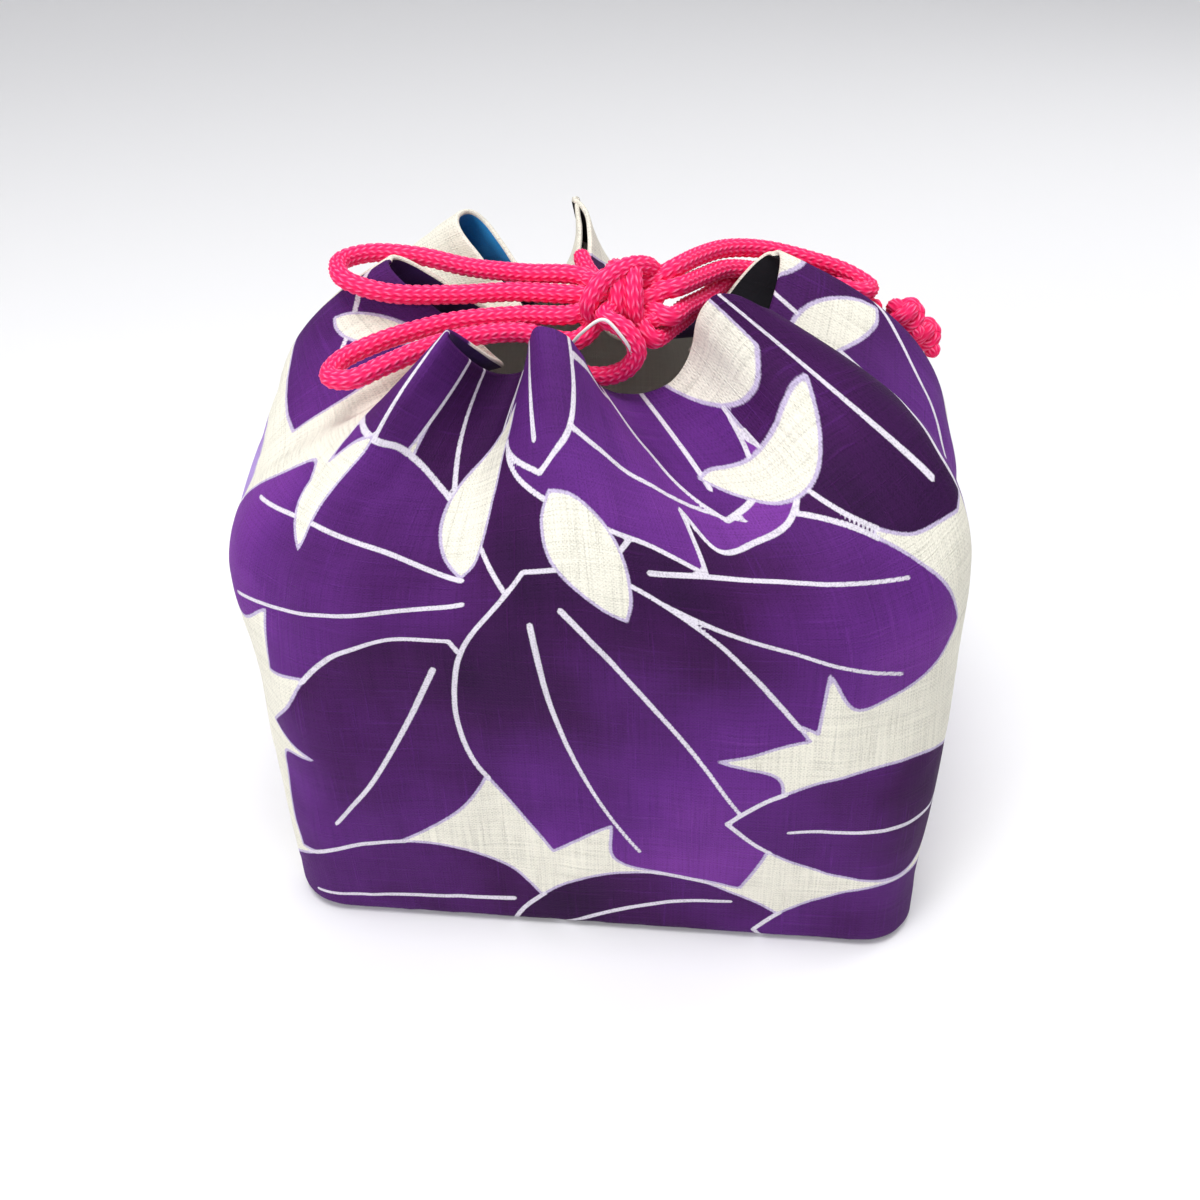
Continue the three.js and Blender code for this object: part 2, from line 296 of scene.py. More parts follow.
def knit_tube(line, radius=CORD_RADIUS, round_ends=True):
    """Points, faces, uv and relief of a cord whose surface is columns of knitted Vs."""
    sides, others = side_directions(line)
    along = np.concatenate([[0], np.cumsum(np.linalg.norm(np.diff(line, axis=0), axis=1))])[:, None]
    angle = np.arange(CORD_SIDES) * 2 * np.pi / CORD_SIDES
    across = np.abs((angle * WALES / (2 * np.pi)) % 1 - 0.5)[None, :]
    leg = np.sqrt(np.clip(1 - ((across - LEG_PLACE) / LEG_HALF_WIDTH) ** 2, 0, 1))
    turn = 2 * np.pi * (along / STITCH_LENGTH + across * 2 * STITCH_SLANT)
    stitch = (0.5 + 0.5 * np.cos(turn)) ** LEG_CREST
    relief = leg * (LEG_LOW + (1 - LEG_LOW) * stitch)
    size = radius - STITCH_DEPTH * (1 - relief)
    if round_ends:
        inset = np.minimum(along, along[-1] - along) / radius
        size = size * np.sqrt(np.clip(1 - (1 - np.minimum(inset, 1)) ** 2, 0.02, 1))
    ring = np.cos(angle)[None, :, None] * sides[:, None] + np.sin(angle)[None, :, None] * others[:, None]
    points = line[:, None] + ring * size[..., None]
    faces = grid_faces(len(line), CORD_SIDES, closed=True)[:, ::-1]
    last = len(line) * CORD_SIDES
    tips = []
    for k in range(CORD_SIDES):
        following = (k + 1) % CORD_SIDES
        tips.append((last, k, following))
        tips.append((last + 1, last - CORD_SIDES + following, last - CORD_SIDES + k))
    points = np.concatenate([points.reshape(-1, 3), line[:1], line[-1:]])
    around = np.broadcast_to(angle[None, :] * radius, relief.shape)
    uv = np.stack([np.broadcast_to(along, relief.shape), around], -1).reshape(-1, 2)
    uv = np.concatenate([uv, [[0, 0], [along[-1, 0], 0]]])
    relief = np.concatenate([relief.ravel(), [LEG_LOW, LEG_LOW]])
    return points, faces.tolist() + tips, uv, relief


def join_tubes(tubes):
    """One set of points, faces, uv and relief from several."""
    points, faces, uvs, reliefs, start = [], [], [], [], 0
    for tube_points, tube_faces, uv, relief in tubes:
        faces += [tuple(start + k for k in face) for face in tube_faces]
        points.append(tube_points)
        uvs.append(uv)
        reliefs.append(relief)
        start += len(tube_points)
    return np.concatenate(points), faces, np.concatenate(uvs), np.concatenate(reliefs)


# The cord's pink with painted light: painted shade in the dips between the stitches, a painted highlight on
# their tops.
CORD_PINKS_PAINTED_SHADE_HIGHLIGHT = [(0.0, rgb("b80536")), (0.3, rgb("f2145a")), (0.65, rgb("ff3474")),
              (0.9, rgb("ff6f9e")), (1.0, rgb("ff9cbc"))]  # from the dips to the tops of the stitches
CORD_FIBRES = (0.9, 5.0, 1.0)  # lumps in each millimetre, along the cord and round it


def cord_material():
    material, tree, shader = new_material("knitted_cord", 0.55, specular=0.15)
    relief = attribute(tree, "relief")
    place = tree.nodes.new("ShaderNodeUVMap").outputs[0]
    fibres = noise(tree, place, CORD_FIBRES, detail=3.0, roughness=0.7)
    # relief paints the cord's light: painted shade in the dips of the stitches, a painted highlight on their
    # tops.
    lit = math_node(tree, "ADD", relief, math_node(tree, "MULTIPLY_ADD", fibres, 0.5, -0.25))
    tree.links.new(ramp(tree, lit, CORD_PINKS_PAINTED_SHADE_HIGHLIGHT), shader.inputs["Base Color"])
    bump(tree, shader, fibres, 0.35, 0.00025)
    return material


def into_knot(place, share=0.45):
    """A point inside the bow knot, on the way in from a place beside it."""
    return tuple(np.array(KNOT) + share * (np.array(place) - np.array(KNOT)))


def make_cords(material):
    for name, (length, far_end, route) in CORDS.items():
        last = [into_knot(route[-1])] if name in LOOPS else []
        line = smooth_line([into_knot(route[0]), *route, *last], CORD_STEP)
        points, faces, uv, relief = knit_tube(line)
        piece = make_piece(f"{name}_knit", points, faces, material, [name],
                           uv, {"relief": relief})


WINDING_POINTS = 20
WINDING_START = -110  # degrees
WINDING_TURN = 45  # from one point of the winding to the next
WINDING_SIDE = -4.5  # where it starts, from the middle of the knot
WINDING_PITCH = 0.5
WINDING_DEPTH = 6.2  # radii, front to back and up
WINDING_HEIGHT = 6.8


def make_bow_knot(material):
    """The cord wound round the middle of the bow, and the strands that run through it."""
    x, y, z = KNOT
    winding = []
    for k in range(WINDING_POINTS):
        turn = math.radians(WINDING_START + WINDING_TURN * k)
        winding.append((x + WINDING_SIDE + WINDING_PITCH * k, y + WINDING_DEPTH * math.cos(turn),
                        z + WINDING_HEIGHT * math.sin(turn)))
    over = [(-4, -14, 148), (-5, -16, 153), (-2, -14, 158), (4, -9, 160), (9, -4, 158), (11, -1, 152),
            (8, -3, 146)]
    through = [
        [(-8, -5, 155), (0, -6, 154), (8, -5, 155), (13, -3, 156)],
        [(-8, -9, 151), (0, -9, 151), (8, -9, 152), (13, -7, 153)],
        [(-8, -13, 148), (0, -11, 148), (8, -12, 148), (13, -12, 149)],
    ]
    tubes = [knit_tube(smooth_line(route, CORD_STEP)) for route in [winding, over, *through]]
    points, faces, uv, relief = join_tubes(tubes)
    make_piece("bow_knot_knit", points, faces, material, ["bow_knot"], uv, {"relief": relief})


END_KNOT_WIDTH = 1.15  # a third of the knot's radius, to the middle of the cord
END_KNOT_RISE = 2.0  # how far the cord goes up and down in it
END_KNOT_CORD = 2.3  # radius of the cord where it is pulled tight
END_KNOT_POINTS = 16


def make_end_knots(material):
    """An overhand knot on each tail, with a short stub of cord under it."""
    turns = np.arange(END_KNOT_POINTS) * 2 * np.pi / END_KNOT_POINTS
    reach = END_KNOT_WIDTH * (2 + np.cos(3 * turns))
    for number, (x, y, z) in enumerate(END_KNOTS, 1):
        route = np.stack([x + reach * np.cos(2 * turns), y + reach * np.sin(2 * turns),
                          z + END_KNOT_RISE * np.sin(3 * turns)], -1)
        stub = [(x, y, z), (x + 2.5, y - 1.5, z - 2.5), (x + 4.5, y - 3.5, z - 5.0)]
        tubes = [knit_tube(smooth_line(route, CORD_STEP, closed=True), END_KNOT_CORD, round_ends=False),
                 knit_tube(smooth_line(stub, CORD_STEP), END_KNOT_CORD)]
        points, faces, uv, relief = join_tubes(tubes)
        make_piece(f"end_knot_{number}_knit", points, faces, material, [f"end_knot_{number}"],
                   uv, {"relief": relief})


# ---------------------------------------------------------------- the shape of the cloth
# The rim goes round through these fold tips and valleys: x, y, z, and the shoulder height under each.
RIM = np.array([
    (-58, 2, 156, 133), (-28, -12, 136, 126), (-36, -40, 155, 118), (-23, -20, 135, 117),
    (-13, -36, 155, 124), (0, -18, 130, 119), (16, -15, 133, 120), (24, -20, 157, 126),
    (37, -24, 157, 136), (38, -6, 143, 132), (40, 13, 158, 143), (20, 11, 130, 120),
    (37, 44, 138, 114), (0, 18, 131, 114), (-14, 55, 157, 124), (-16, 27, 137, 118),
    (-44, 37, 156, 124), (-26, 13, 137, 122)], float)
RIGHT_SEAM = 10  # the place in RIM where the right side seam ends
FOLD_ROUNDNESS = 0.9  # a little under the frame's, for crisper folds
SHOULDER_FULLNESS = 0.78
BASE = np.array([84, 75, 14, 4], float)  # half width, half depth, corner radius, middle
SHOULDER = np.array([90, 78, 34, 0], float)
WALL_HEIGHT = 90
BASE_EDGE = 4  # radius between the base and the walls
ROOF_LENGTH = 75  # of flat cloth, from the wall to the rim
GIRTH = 612  # of flat cloth, round the pouch
BASE_REACH = 71  # from the base's edge to the seam across it
EDGE_LENGTH = BASE_EDGE * math.pi / 2
RIM_HEIGHT = WALL_HEIGHT + ROOF_LENGTH
RIM_STEPS = 24  # measured stretches from one point of RIM to the next


def rim_at(u):
    """The points of the rim u places round from the left seam, and the shoulder heights under them."""
    count = len(RIM)
    tips = np.roll(RIM[:, :3], -1, 0) - np.roll(RIM[:, :3], 1, 0)
    tips /= np.linalg.norm(tips, axis=1)[:, None]
    k = np.floor(u).astype(int)
    t = (u - k)[..., None]
    start, end = RIM[k % count], RIM[(k + 1) % count]
    roundness = FOLD_ROUNDNESS * np.linalg.norm((end - start)[..., :3], axis=-1)[..., None]
    place = start + (end - start) * t * t * (3 - 2 * t)
    bow = tips[k % count] * t * (1 - t) ** 2 - tips[(k + 1) % count] * t * t * (1 - t)
    return place[..., :3] + roundness * bow, place[..., 3]


def share_table():
    """Places along the rim, and the share of the cloth's girth at each."""
    places = np.arange(len(RIM) * RIM_STEPS + 1) / RIM_STEPS
    steps = np.linalg.norm(np.diff(rim_at(places)[0], axis=0), axis=1)
    lengths = np.concatenate([[0], np.cumsum(steps)])
    front = lengths[RIGHT_SEAM * RIM_STEPS]
    rear_share = 0.5 + 0.5 * (lengths - front) / (lengths[-1] - front)
    return places, np.where(places <= RIGHT_SEAM, 0.5 * lengths / front, rear_share)


RIM_PLACES, RIM_SHARES = share_table()


def outline_at(share, half_width, half_depth, corner, middle):
    """Points of a rounded rectangle, from the middle of its left side round by the front."""
    w, h = half_width - corner, half_depth - corner
    quarter = np.pi * corner / 2
    spans = np.stack(np.broadcast_arrays(h, quarter, 2 * w, quarter, 2 * h, quarter, 2 * w, quarter, h))
    ends = np.cumsum(spans, 0)
    distance = share * ends[-1]
    span = np.minimum((distance > ends).sum(0), 8)
    d = distance - np.take_along_axis(ends - spans, span[None], 0)[0]
    sine, cosine = corner * np.sin(d / corner), corner * np.cos(d / corner)
    xs = [-half_width, -w - cosine, d - w, w + sine, half_width, w + cosine, w - d, -w - sine, -half_width]
    ys = [-d, -h - sine, -half_depth, -h - cosine, d - h, h + sine, half_depth, h + cosine, h - d]
    x = np.choose(span, np.broadcast_arrays(*xs, d)[:-1])
    y = np.choose(span, np.broadcast_arrays(*ys, d)[:-1])
    return x + middle, y


def wall_at(share, z, inset=0.0):
    k = z / WALL_HEIGHT
    half_width, half_depth, corner, middle = (BASE[i] * (1 - k) + SHOULDER[i] * k for i in range(4))
    x, y = outline_at(share, half_width - inset, half_depth - inset, corner, middle)
    return np.stack([x, y, np.broadcast_to(z, x.shape)], -1)


def cloth_at(share, height):
    """Points of the outer cloth. height runs up the flat cloth, from the base under 0 to RIM_HEIGHT."""
    share, height = np.broadcast_arrays(share, height)
    rim, shoulder = rim_at(np.interp(share, RIM_SHARES, RIM_PLACES))
    foot = wall_at(share, np.full(share.shape, float(WALL_HEIGHT)))
    corner = wall_at(share, shoulder)
    first, second = (end + (corner - end) * SHOULDER_FULLNESS for end in (foot, rim))
    t = np.clip((height - WALL_HEIGHT) / ROOF_LENGTH, 0, 1)[..., None]
    roof = foot * (1 - t) ** 3 + 3 * first * t * (1 - t) ** 2 + 3 * second * t * t * (1 - t) + rim * t ** 3
    turn = np.clip((BASE_EDGE - height) / EDGE_LENGTH, 0, 1) * np.pi / 2
    z = np.where(height > BASE_EDGE, np.clip(height, 0, WALL_HEIGHT), BASE_EDGE * (1 - np.sin(turn)))
    wall = wall_at(share, z, BASE_EDGE * (1 - np.cos(turn)))
    inward = np.clip((BASE_EDGE - EDGE_LENGTH - height) / BASE_REACH, 0, 1)[..., None]
    across = np.where(share <= 0.5, 2 * share, 2 * (1 - share))
    seam_x = BASE[3] + (BASE[0] - BASE_EDGE) * (2 * across - 1)
    seam = np.stack([seam_x, np.zeros_like(seam_x), np.zeros_like(seam_x)], -1)
    low = wall * (1 - inward) + seam * inward
    return np.where((height > WALL_HEIGHT)[..., None], roof, low)


# How far each kind of wave stands proud, how large its lumps are round the pouch and up it, and its seed.
BROAD_WAVES = (2.1, 46, 50, 3)
PLEATS = (2.0, 15, 90, 5)
CREASES = (0.8, 10, 24, 8)
FINE_WAVES = (0.12, 4, 5, 13)
SEAM_CALM = 14  # the waves die away over this distance from a side seam
SEAM_GROOVE = 0.8  # how deep a side seam is drawn in, and how wide
SEAM_GROOVE_WIDTH = 1.4


def waves(x, height, kind):
    depth, size_x, size_y, seed = kind
    return depth * soft_noise(x, height, size_x, size_y, seed)


def ripple(x, height):
    """How far the cloth stands proud of its plain shape, in millimetres."""
    seam = np.minimum(np.minimum(np.abs(x), np.abs(x - GIRTH / 2)), np.abs(x - GIRTH))
    on_wall = smoothstep(2, 22, height)
    gathered = smoothstep(70, 125, height) * (1 - 0.7 * smoothstep(140, RIM_HEIGHT, height))
    lumps = waves(x, height, BROAD_WAVES) * on_wall
    lumps = lumps + waves(x, height, PLEATS) * gathered
    lumps = lumps + waves(x, height, CREASES) * on_wall
    lumps = lumps + waves(x, height, FINE_WAVES)
    groove = SEAM_GROOVE * np.exp(-(seam / SEAM_GROOVE_WIDTH) ** 2) * on_wall
    return lumps * smoothstep(0, SEAM_CALM, seam) - groove


def cloth_grid(start, end, columns, heights, depth):
    """Points depth below the cloth's outer face, with their normals, up directions, x and height."""
    share = np.linspace(start, end, columns)[None, :]
    x = share * GIRTH
    height = np.asarray(heights, float)[:, None]
    aside, above = 1e-4, 0.3  # how far away the slopes are measured, in shares of the girth and up
    points = cloth_at(share, height)
    inside = np.clip(share, start + aside, end - aside)
    around = cloth_at(inside + aside, height) - cloth_at(inside - aside, height)
    up = cloth_at(share, height + above) - cloth_at(share, height - above)
    up = np.where((height > RIM_HEIGHT - above)[..., None], points - cloth_at(share, height - 2 * above), up)
    normal = np.cross(around, up)
    normal /= np.maximum(np.linalg.norm(normal, axis=-1), 1e-9)[..., None]
    normal = np.where((height < BASE_EDGE - EDGE_LENGTH)[..., None], np.array((0.0, 0.0, -1.0)), normal)
    proud = ripple(x, height) - depth
    return points + normal * proud[..., None], normal, up, *np.broadcast_arrays(x, height)


# ---------------------------------------------------------------- the print
# The print is drawn on the flat cloth: x goes round the pouch from the left seam, and y goes up it.
# It is a generic scatter of leaves that fan out from a few stems. Each leaf is made by a formula from its
# stem, its tip, its half width, how far its middle bows to the left, and its lobes.
# A lobe is a side (1 left, -1 right) and how far along the leaf it comes to its point.
# Tones run from 0, nearly black, to 0.8, bright violet; 1 is lavender. A leaf has one at each end.
FRONT_LEAVES = [
    # left side
    dict(stem=(-20, 176), tip=(40, 132), width=20, tones=(0.18, 0.45), veins=1),
    dict(stem=(56, 108), tip=(0, 112), width=11, tones=(1.0, 1.0)),
    dict(stem=(58, 20), tip=(6, 88), width=24, bow=4, tones=(0.25, 0.65), veins=2),
    # under the rim, left of the middle
    dict(stem=(128, 112), tip=(106, 196), width=20, bow=-3, tones=(0.05, 0.12), veins=2),
    dict(stem=(90, 136), tip=(76, 196), width=16, tones=(0.25, 0.4), veins=1),
    # the dark ground behind the stems, and the fan of large leaves round the middle
    dict(stem=(150, 92), tip=(148, 166), width=30, tones=(0.1, 0.2)),
    dict(stem=(200, 122), tip=(232, 150), width=16, tones=(0.1, 0.3)),
    dict(stem=(136, 112), tip=(44, 104), width=33, bow=-7, lobes=((1, 0.66), (-1, 0.6)),
         tones=(0.22, 0.66), veins=2),
    dict(stem=(122, 98), tip=(74, 22), width=25, bow=3, lobes=((-1, 0.6),), tones=(0.16, 0.42), veins=1),
    dict(stem=(158, 118), tip=(246, 96), width=29, bow=3, lobes=((-1, 0.58),), tones=(0.1, 0.6), veins=2),
    dict(stem=(140, 118), tip=(190, 20), width=37, bow=-4, lobes=((1, 0.58), (-1, 0.68)),
         tones=(0.1, 0.64), veins=2),
    # along the base
    dict(stem=(140, 10), tip=(60, 6), width=20, bow=-2, tones=(0.2, 0.4), veins=1),
    dict(stem=(126, -10), tip=(206, 6), width=22, bow=4, tones=(0.05, 0.3), veins=2),
    dict(stem=(262, 44), tip=(186, 46), width=20, tones=(0.15, 0.4), veins=1),
    dict(stem=(262, 2), tip=(194, 4), width=21, tones=(0.22, 0.4)),
    # under the mouth and over the right shoulder
    dict(stem=(250, 118), tip=(236, 196), width=28, tones=(0.08, 0.3), veins=1),
    dict(stem=(130, 158), tip=(220, 142), width=27, bow=3, lobes=((-1, 0.6),), tones=(0.4, 0.72), veins=2),
    dict(stem=(146, 140), tip=(140, 198), width=16, tones=(0.4, 0.5), veins=1),
    dict(stem=(196, 136), tip=(206, 198), width=16, tones=(0.4, 0.6), veins=1),
    dict(stem=(258, 110), tip=(312, 180), width=26, bow=-4, tones=(0.55, 0.2), veins=2),
    # right side
    dict(stem=(258, 84), tip=(318, 36), width=24, bow=4, tones=(0.5, 0.2), veins=2),
    dict(stem=(260, 2), tip=(322, 8), width=16, tones=(0.45, 0.2), veins=1),
]

# Bare cream leaves on top of the others.
FRONT_CREAM = [
    dict(stem=(86, 148), tip=(82, 120), width=5, bow=-6),
    dict(stem=(124, 118), tip=(134, 156), width=7, bow=5),
    dict(stem=(148, 136), tip=(163, 106), width=8),
    dict(stem=(196, 146), tip=(240, 152), width=5, bow=-5),
    dict(stem=(236, 158), tip=(200, 182), width=12),
    dict(stem=(302, 146), tip=(272, 160), width=5, bow=-3),
    dict(stem=(290, 176), tip=(326, 162), width=9),
    dict(stem=(10, 150), tip=(30, 160), width=4),
]

# The rear panel is cut from the same cloth the other way up, and it is bare at its two rear folds.
REAR_TURN = (GIRTH, 152)
REAR_CREAM = [
    dict(stem=(486, 130), tip=(486, 205), width=38),
    dict(stem=(568, 130), tip=(568, 205), width=34),
]
LEAF_STEPS = 11  # points along each side of a leaf, with its stem and its tip
LEAF_LEAN = 0.85  # under 1, a leaf is widest nearer its stem
LEAF_BLUNTNESS = 0.75  # under 1, its ends are blunter
LOBE_ROOM = 0.08  # how near to a lobe the plain points of a side come, as a share of the leaf's length
LOBE_REACH = 1.18  # how far out a lobe's point stands, and where the side starts again after it
LOBE_NOTCH = 0.55
LOBE_LEAN = 0.05  # how far toward the tip the lobe's point is moved, and the notch that follows it
NOTCH_LEAN = 0.02
VEIN_PLACES = (0.12, 0.35, 0.58, 0.8)  # along the leaf
VEIN_FAN = 0.42  # how far out the outer veins run, in half widths of the leaf
LONE_VEIN = 0.08
VEIN_BOW = 0.7  # of a half wave, along the leaf


def along_leaf(leaf, t, side):
    """The place a share t along a leaf, and side half widths to the left of its middle line."""
    stem, tip = np.array(leaf["stem"], float), np.array(leaf["tip"], float)
    left = np.array((stem[1] - tip[1], tip[0] - stem[0])) / np.linalg.norm(tip - stem)
    out = leaf["width"] * side + leaf.get("bow", 0) * math.sin(math.pi * t)
    return tuple(stem + (tip - stem) * t + left * out)


def fullness(t):
    """How wide a leaf is a share t along it, from 0 at its ends to 1 at its widest."""
    return math.sin(math.pi * t ** LEAF_LEAN) ** LEAF_BLUNTNESS


def side_of_leaf(leaf, side):
    """The points of one side of a leaf, from its stem to its tip. A third value of 1 is a sharp corner."""
    points = []
    lobes = [place for which, place in leaf.get("lobes", ()) if which == side]
    for t in np.linspace(0, 1, LEAF_STEPS)[1:-1]:
        if not any(abs(t - place) < LOBE_ROOM for place in lobes):
            points.append((t, along_leaf(leaf, t, side * fullness(t))))
    for place in lobes:
        wide = side * fullness(place)
        points.append((place, (*along_leaf(leaf, place + LOBE_LEAN, wide * LOBE_REACH), 1)))
        points.append((place + NOTCH_LEAN, (*along_leaf(leaf, place + NOTCH_LEAN, wide * LOBE_NOTCH), 1)))
    return [point for _, point in sorted(points)]


def leaf_outline(leaf):
    there, back = side_of_leaf(leaf, 1), side_of_leaf(leaf, -1)[::-1]
    return [(*leaf["stem"], 1), *there, (*leaf["tip"], 1), *back]


def leaf_veins(leaf):
    """Curved veins that fan out from near the stem."""
    count = leaf.get("veins", 0)
    fan = np.linspace(-VEIN_FAN, VEIN_FAN, count) if count > 1 else [LONE_VEIN] * count
    return [[along_leaf(leaf, t, spread * math.sin(math.pi * t * VEIN_BOW)) for t in VEIN_PLACES]
            for spread in fan]


EDGE_LINE = 0.62  # half the width of the white line between two leaves
EDGE_THIN = 0.4  # and of the paler one between a leaf and bare cloth
VEIN_THICK = 0.72  # half the width of a vein where it starts, and where it ends
VEIN_THIN = 0.48
OUTLINE_STEP = 1.5
FAR = 30.0  # the distance given where nothing is near
BARE_START = 1.2  # the white line fades out between these distances from the leaves below
BARE_END = 3.5
BARE_PUSH = 6
UNDYED_TONE = 0.4


def outline_of(corners):
    """An even outline through corners, of which the first is sharp. It is smooth except at the sharp ones."""
    places = [(corner[0], corner[1], 0) for corner in [*corners, corners[0]]]
    cuts = [k for k, corner in enumerate(corners) if len(corner) == 3] + [len(corners)]
    runs = [smooth_line(places[a:b + 1], OUTLINE_STEP)[:-1, :2] for a, b in zip(cuts, cuts[1:])]
    return np.concatenate(runs)


def segment_distance(points, start, end):
    """The distance from each point to a stretch of line, and how far along it the nearest place is."""
    line = end - start
    share = np.clip(((points - start) @ line) / max(line @ line, 1e-9), 0, 1)
    return np.linalg.norm(points - start - share[:, None] * line, axis=1), share


def signed_distance(points, outline):
    """The distance from each point to an outline, negative inside it."""
    nearest = np.full(len(points), 1e9)
    inside = np.zeros(len(points), bool)
    x, y = points.T
    for start, end in zip(outline, np.roll(outline, -1, 0)):
        nearest = np.minimum(nearest, segment_distance(points, start, end)[0])
        crosses = (start[1] > y) != (end[1] > y)
        rise = end[1] - start[1] if end[1] != start[1] else 1e-9
        inside ^= crosses & (x < start[0] + (y - start[1]) * (end[0] - start[0]) / rise)
    return np.where(inside, -nearest, nearest)


class Print:
    """The print at each point: the distances to the dyed cloth and to a white line, and the dye's tone."""

    def __init__(self, x, y):
        self.points = np.stack([x.ravel(), y.ravel()], -1)
        count = len(self.points)
        self.values = {"ground": np.full(count, FAR), "line": np.full(count, FAR),
                       "tone": np.full(count, UNDYED_TONE)}

    def near(self, shape, margin=8):
        low, high = shape.min(0) - margin, shape.max(0) + margin
        return np.nonzero(((self.points > low) & (self.points < high)).all(1))[0]

    def leaf(self, leaf):
        shape = outline_of(leaf_outline(leaf))
        near = self.near(shape)
        if not len(near):
            return
        points = self.points[near]
        distance = signed_distance(points, shape)
        ground, line, tone = (self.values[key][near] for key in ("ground", "line", "tone"))
        at_stem, at_tip = leaf["tones"]
        _, share = segment_distance(points, np.array(leaf["stem"], float), np.array(leaf["tip"], float))
        leaf_tone = at_stem + (at_tip - at_stem) * smoothstep(0, 1, share)
        self.values["ground"][near] = np.minimum(ground, distance)
        self.values["tone"][near] = np.where(distance < 0, leaf_tone, tone)
        bare = BARE_PUSH * smoothstep(BARE_START, BARE_END, ground)
        line = np.minimum(np.maximum(line, -distance), np.abs(distance) - EDGE_LINE + bare)
        for vein in leaf_veins(leaf):
            route = smooth_line([(a, b, 0) for a, b in vein], OUTLINE_STEP)[:, :2]
            for k, (start, end) in enumerate(zip(route, route[1:])):
                away, _ = segment_distance(points, start, end)
                width = VEIN_THICK + (VEIN_THIN - VEIN_THICK) * k / len(route)
                line = np.minimum(line, np.where(distance < EDGE_LINE, away - width, FAR))
        self.values["line"][near] = line

    def bare(self, leaf):
        shape = outline_of(leaf_outline(leaf))
        near = self.near(shape)
        if len(near):
            distance = signed_distance(self.points[near], shape)
            self.values["ground"][near] = np.maximum(self.values["ground"][near], -distance)
            self.values["line"][near] = np.maximum(self.values["line"][near], -distance)


def turned(leaf):
    """A leaf of the front print as it lies on the rear panel."""
    across, up = REAR_TURN
    return {**leaf, **{end: (across - leaf[end][0], up - leaf[end][1]) for end in ("stem", "tip")}}


def draw_print(x, y, leaves, cream):
    """The print's values at the points x, y, from leaves laid one over another and bare ones on top."""
    drawn = Print(x, y)
    for leaf in leaves:
        drawn.leaf(leaf)
    for leaf in cream:
        drawn.bare(leaf)
    return drawn.values


def front_print(x, y):
    return draw_print(x, y, FRONT_LEAVES, FRONT_CREAM)


def rear_print(x, y):
    cream = [turned(leaf) for leaf in FRONT_CREAM] + REAR_CREAM
    return draw_print(x, y, [turned(leaf) for leaf in FRONT_LEAVES], cream)


# ---------------------------------------------------------------- cloth materials
DYES = [(0.0, rgb("270c33")), (0.2, rgb("40154f")), (0.5, rgb("612980")),
        (0.8, rgb("833ea2")), (1.0, rgb("b094d6"))]
CREAM = rgb("ece9db")
LINE_WHITE = rgb("e0dae6")
RIM_LILAC = rgb("c4b7d6")
# Painted shade between the threads of the print, full colour on their tops, mixed with the threads' own
# grain.
PRINT_SHADE = [(0.36, grey(0.62)), (0.5, grey(0.9)), (0.6, grey(1))]  # from between the threads to their tops
# Painted shade between the threads of the plain cloth, mixed with the threads' own grain.
PLAIN_SHADE = [(0.25, grey(0.7)), (0.6, grey(1))]

# Noise on the flat cloth: lumps in each millimetre round the pouch and up it.
WARP = (2.3, 0.05, 1.0)
WEFT = (0.05, 2.3, 1.0)
GRAIN = (2.6, 2.6, 1.0)
SLUBS_ROUND = (0.035, 0.9, 1.0)
SLUBS_UP = (0.9, 0.035, 7.0)
CLOUDS = (0.03, 0.03, 1.0)

WEAVE_REPEAT = 0.95  # one thread over and one under
WEAVE_DEPTH = 0.16
GRAIN_SHARE = 0.35
THREAD_SHARE = 0.33
SLUB_START = 0.58  # values of the noise where a slub starts, and where it is full
SLUB_FULL = 0.68


def weave(tree):
    """How high the threads stand, about 0.5, and the flat cloth's coordinates in millimetres."""
    place = tree.nodes.new("ShaderNodeUVMap").outputs[0]
    warp = noise(tree, place, WARP, detail=1.0)
    weft = noise(tree, place, WEFT, detail=1.0)
    grain = noise(tree, place, GRAIN, detail=1.0)
    both = math_node(tree, "ADD", warp, weft)
    split = tree.nodes.new("ShaderNodeSeparateXYZ")
    tree.links.new(place, split.inputs[0])
    turns = [math_node(tree, "MULTIPLY", split.outputs[k], 2 * math.pi / WEAVE_REPEAT) for k in (0, 1)]
    around, up = (math_node(tree, "SINE", turn) for turn in turns)
    both = math_node(tree, "MULTIPLY_ADD", math_node(tree, "MULTIPLY", around, up), WEAVE_DEPTH, both)
    both = math_node(tree, "MULTIPLY", both, THREAD_SHARE)
    return math_node(tree, "MULTIPLY_ADD", grain, GRAIN_SHARE, both), place


def slubs(tree, place):
    """Thick places in single threads: 1 on a slub and 0 elsewhere."""
    around = noise(tree, place, SLUBS_ROUND, detail=2.0, roughness=0.7)
    up = noise(tree, place, SLUBS_UP, detail=2.0, roughness=0.7)
    thick = math_node(tree, "MAXIMUM", around, up)
    return math_node(tree, "SUBTRACT", 1.0, step_down(tree, thick, SLUB_START, SLUB_FULL))


